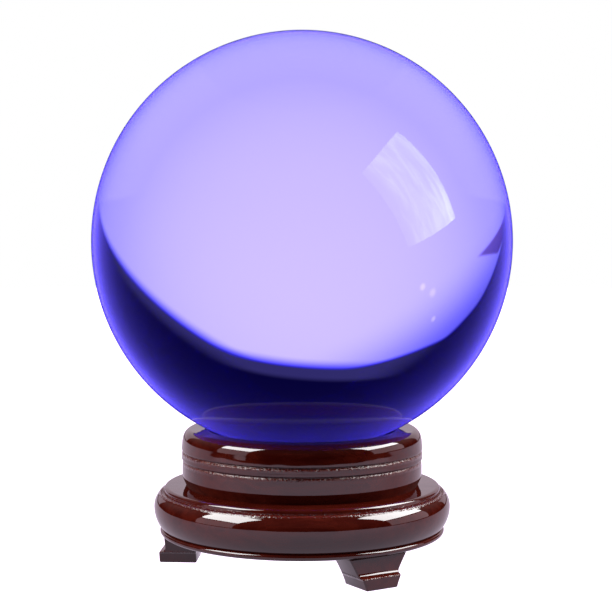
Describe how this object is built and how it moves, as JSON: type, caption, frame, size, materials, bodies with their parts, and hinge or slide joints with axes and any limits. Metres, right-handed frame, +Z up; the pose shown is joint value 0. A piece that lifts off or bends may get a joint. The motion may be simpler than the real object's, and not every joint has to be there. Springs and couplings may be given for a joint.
{
  "type": "crystal ball on a stand",
  "caption": "Solid violet glass ball resting in a turned, lacquered wooden collar on a round moulded base with small bracket feet.",
  "frame": {"origin": "on the stand's axis, at the level of the feet's soles", "axes": "+Z up along the axis of the ball and the stand; -Y is the front, +X the viewer's right"},
  "size_m": [0.15, 0.15, 0.1909],
  "materials": {
    "violet_glass": "polished solid crystal glass, violet through the body",
    "lacquered_wood": "dark red-brown stain under thick gloss lacquer",
    "dowel_wood": "bare beech",
    "screw_steel": "yellow zinc plate"
  },
  "bodies": {
    "stand": {"collar_ring": "lacquered_wood", "base_disc": "lacquered_wood", "foot_front_right": "lacquered_wood", "foot_rear": "lacquered_wood", "foot_left": "lacquered_wood", "dowel_1a": "dowel_wood", "dowel_1b": "dowel_wood", "dowel_2a": "dowel_wood", "dowel_2b": "dowel_wood", "dowel_3a": "dowel_wood", "dowel_3b": "dowel_wood", "screw_1": "screw_steel", "screw_2": "screw_steel", "screw_3": "screw_steel"},
    "ball": {"crystal_ball": "violet_glass"}
  },
  "joints": [
    {"name": "ball_lift", "type": "slide", "parent": "stand", "child": "ball", "axis": [0, 0, 1], "range_m": [0, 0.08]}
  ]
}
